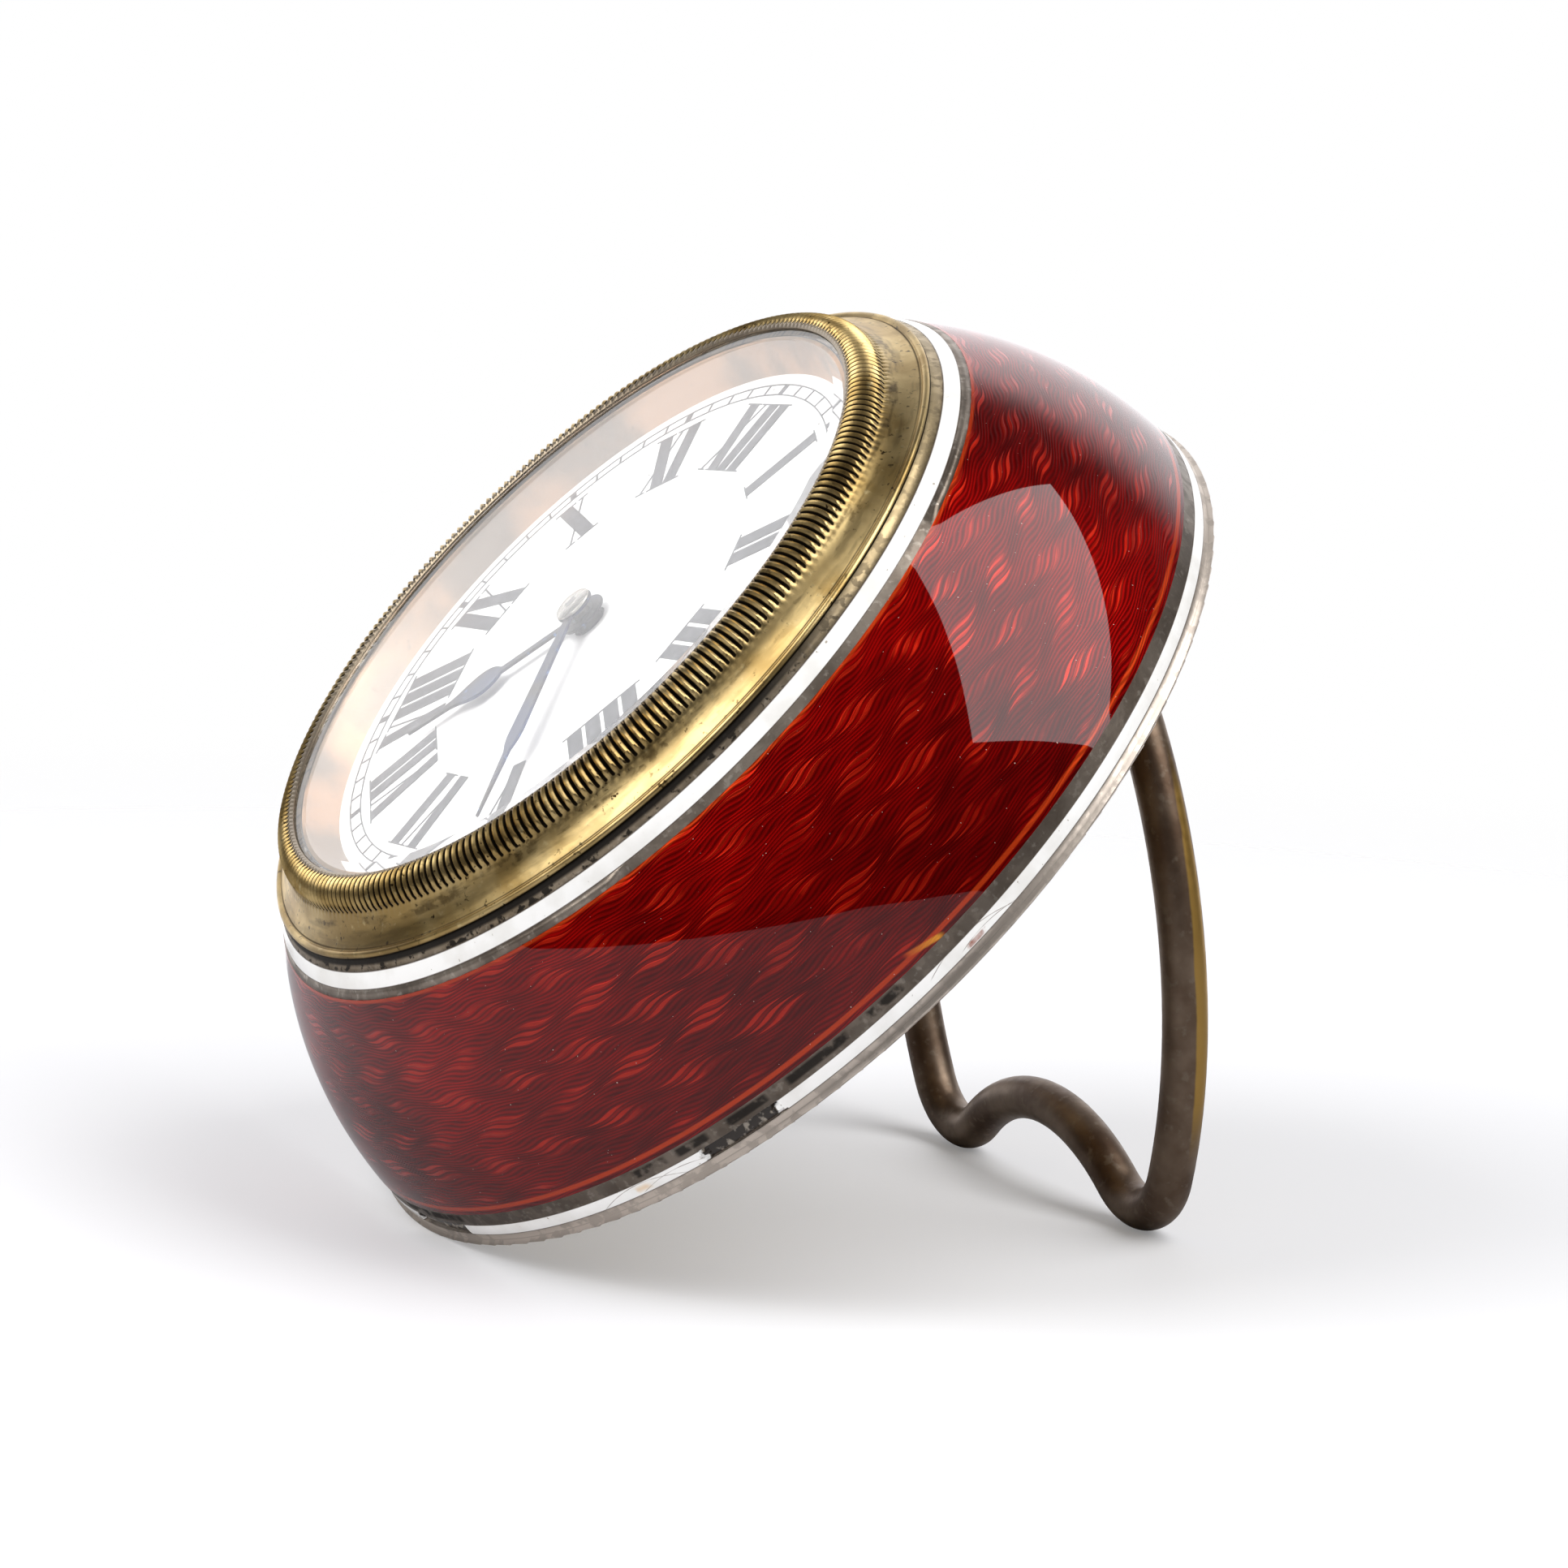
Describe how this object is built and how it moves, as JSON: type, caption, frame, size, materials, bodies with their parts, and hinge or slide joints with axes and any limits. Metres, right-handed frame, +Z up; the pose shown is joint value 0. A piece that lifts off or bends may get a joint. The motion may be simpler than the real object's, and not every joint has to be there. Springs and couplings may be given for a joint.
{
  "type": "pendulette clock",
  "caption": "Small round strut clock in a domed enamelled case with white bands, milled bezel, Roman dial, wind-up movement and a folding wire strut.",
  "frame": {"origin": "on the table under the middle of the clock as it stands, with the strut open", "axes": "+Z up, +X to the side of III, -Y the way the dial faces; the dial leans back 47.5 degrees from upright"},
  "size_m": [0.08, 0.0636, 0.0665],
  "materials": {
    "silver": "tarnished silver, satin",
    "red_enamel": "translucent enamel over engine turning, glossy",
    "white_enamel": "opaque enamel, glossy",
    "black_enamel": "painted figures, glossy",
    "gilt": "gilded and worn, polished",
    "glass": "clear",
    "brass": "polished",
    "bronzed_wire": "bronzed and worn, satin",
    "steel": "polished",
    "blued_steel": "heat blued, glossy"
  },
  "bodies": {
    "case": {"case_shell": "silver", "red_enamel": "red_enamel", "front_enamel_stripe": "white_enamel", "rim_enamel_stripe": "white_enamel", "bezel": "gilt", "glass": "glass", "sight_ring": "gilt", "dial": "white_enamel", "dial_markings": "black_enamel", "dial_spacer": "brass", "main_plate": "brass", "train_plate": "brass", "plate_pillars": "brass", "plate_screws": "steel", "movement_screws": "steel", "back_plate": "gilt", "back_screws": "steel", "strut_bracket": "brass", "bracket_screws": "steel", "strut_pin": "steel", "hairspring_stud": "steel", "click_screw": "steel"},
    "strut_leg": {"strut": "bronzed_wire"},
    "minute_arbor": {"centre_arbor": "steel", "cannon_pinion": "steel", "minute_hand": "blued_steel", "hand_cap": "steel", "hand_set_knob": "brass"},
    "hour_work": {"hour_wheel": "brass", "hour_hand": "blued_steel"},
    "motion_wheel": {"minute_wheel": "brass"},
    "going_barrel": {"barrel": "brass", "barrel_cover": "brass", "mainspring": "steel"},
    "winding_arbor": {"barrel_arbor": "steel", "ratchet_wheel": "steel", "key_hub": "brass", "key_pin": "steel"},
    "bow": {"key_bow": "brass"},
    "pawl": {"click": "steel"},
    "intermediate": {"intermediate_wheel": "brass"},
    "centre": {"centre_wheel": "brass"},
    "third": {"third_wheel": "brass"},
    "fourth": {"fourth_wheel": "brass"},
    "escape": {"escape_wheel": "steel"},
    "pallets": {"pallet_lever": "steel"},
    "balance": {"balance_wheel": "brass", "hairspring": "blued_steel"},
    "regulator_arm": {"regulator": "brass"}
  },
  "joints": [
    {"name": "strut_fold", "type": "hinge", "parent": "case", "child": "strut_leg", "pos_m": [0, 0.02325, 0.05324], "axis": [1, 0, 0], "range_deg": [-48.5, 0]},
    {"name": "hands_turn", "type": "hinge", "parent": "case", "child": "minute_arbor", "pos_m": [0, -0.00394, 0.03747], "axis": [0, -0.7373, 0.6756], "continuous": true},
    {"name": "hour_turn", "type": "hinge", "parent": "case", "child": "hour_work", "pos_m": [0, -0.00394, 0.03747], "axis": [0, -0.7373, 0.6756], "continuous": true},
    {"name": "motion_wheel_turn", "type": "hinge", "parent": "case", "child": "motion_wheel", "pos_m": [0.006, -0.00394, 0.03747], "axis": [0, -0.7373, 0.6756], "continuous": true},
    {"name": "escape_turn", "type": "hinge", "parent": "case", "child": "escape", "pos_m": [-0.00919, -0.01197, 0.02871], "axis": [0, -0.7373, 0.6756], "continuous": true},
    {"name": "fourth_turn", "type": "hinge", "parent": "case", "child": "fourth", "pos_m": [-0.0034, -0.01339, 0.02716], "axis": [0, -0.7373, 0.6756], "continuous": true},
    {"name": "third_turn", "type": "hinge", "parent": "case", "child": "third", "pos_m": [0, -0.00942, 0.0315], "axis": [0, -0.7373, 0.6756], "continuous": true},
    {"name": "centre_turn", "type": "hinge", "parent": "case", "child": "centre", "pos_m": [0, -0.00394, 0.03747], "axis": [0, -0.7373, 0.6756], "continuous": true},
    {"name": "intermediate_turn", "type": "hinge", "parent": "case", "child": "intermediate", "pos_m": [0.00346, 0.00123, 0.04312], "axis": [0, -0.7373, 0.6756], "continuous": true},
    {"name": "barrel_turn", "type": "hinge", "parent": "case", "child": "going_barrel", "pos_m": [-0.00775, 0.00512, 0.04737], "axis": [0, -0.7373, 0.6756], "continuous": true},
    {"name": "winding_turn", "type": "hinge", "parent": "case", "child": "winding_arbor", "pos_m": [-0.00775, 0.00512, 0.04737], "axis": [0, -0.7373, 0.6756], "continuous": true},
    {"name": "bow_fold", "type": "hinge", "parent": "winding_arbor", "child": "bow", "pos_m": [-0.00775, 0.01069, 0.04226], "axis": [1, 0, 0], "range_deg": [0, 90]},
    {"name": "click_lift", "type": "hinge", "parent": "case", "child": "pawl", "pos_m": [-0.00211, 0.00997, 0.0457], "axis": [0, -0.7373, 0.6756], "range_deg": [0, 8], "stiffness_Nm_per_rad": 0.00001},
    {"name": "pallets_rock", "type": "hinge", "parent": "case", "child": "pallets", "pos_m": [-0.01218, -0.01028, 0.03056], "axis": [0, -0.7373, 0.6756], "range_deg": [-5, 5]},
    {"name": "balance_swing", "type": "hinge", "parent": "case", "child": "balance", "pos_m": [-0.01631, -0.00793, 0.03312], "axis": [0, -0.7373, 0.6756], "range_deg": [-220, 220], "stiffness_Nm_per_rad": 0.0000005},
    {"name": "regulator_shift", "type": "hinge", "parent": "case", "child": "regulator_arm", "pos_m": [-0.01631, -0.00447, 0.02995], "axis": [0, -0.7373, 0.6756], "range_deg": [-12, 12]}
  ],
  "couplings": [
    {"joint": "hour_turn", "follows": "hands_turn", "ratio": 0.083333},
    {"joint": "motion_wheel_turn", "follows": "hands_turn", "ratio": -0.33333},
    {"joint": "fourth_turn", "follows": "escape_turn", "ratio": -0.1},
    {"joint": "third_turn", "follows": "escape_turn", "ratio": 0.013333},
    {"joint": "centre_turn", "follows": "escape_turn", "ratio": -0.0016667},
    {"joint": "intermediate_turn", "follows": "escape_turn", "ratio": 0.00027778},
    {"joint": "barrel_turn", "follows": "escape_turn", "ratio": -0.000034722}
  ]
}
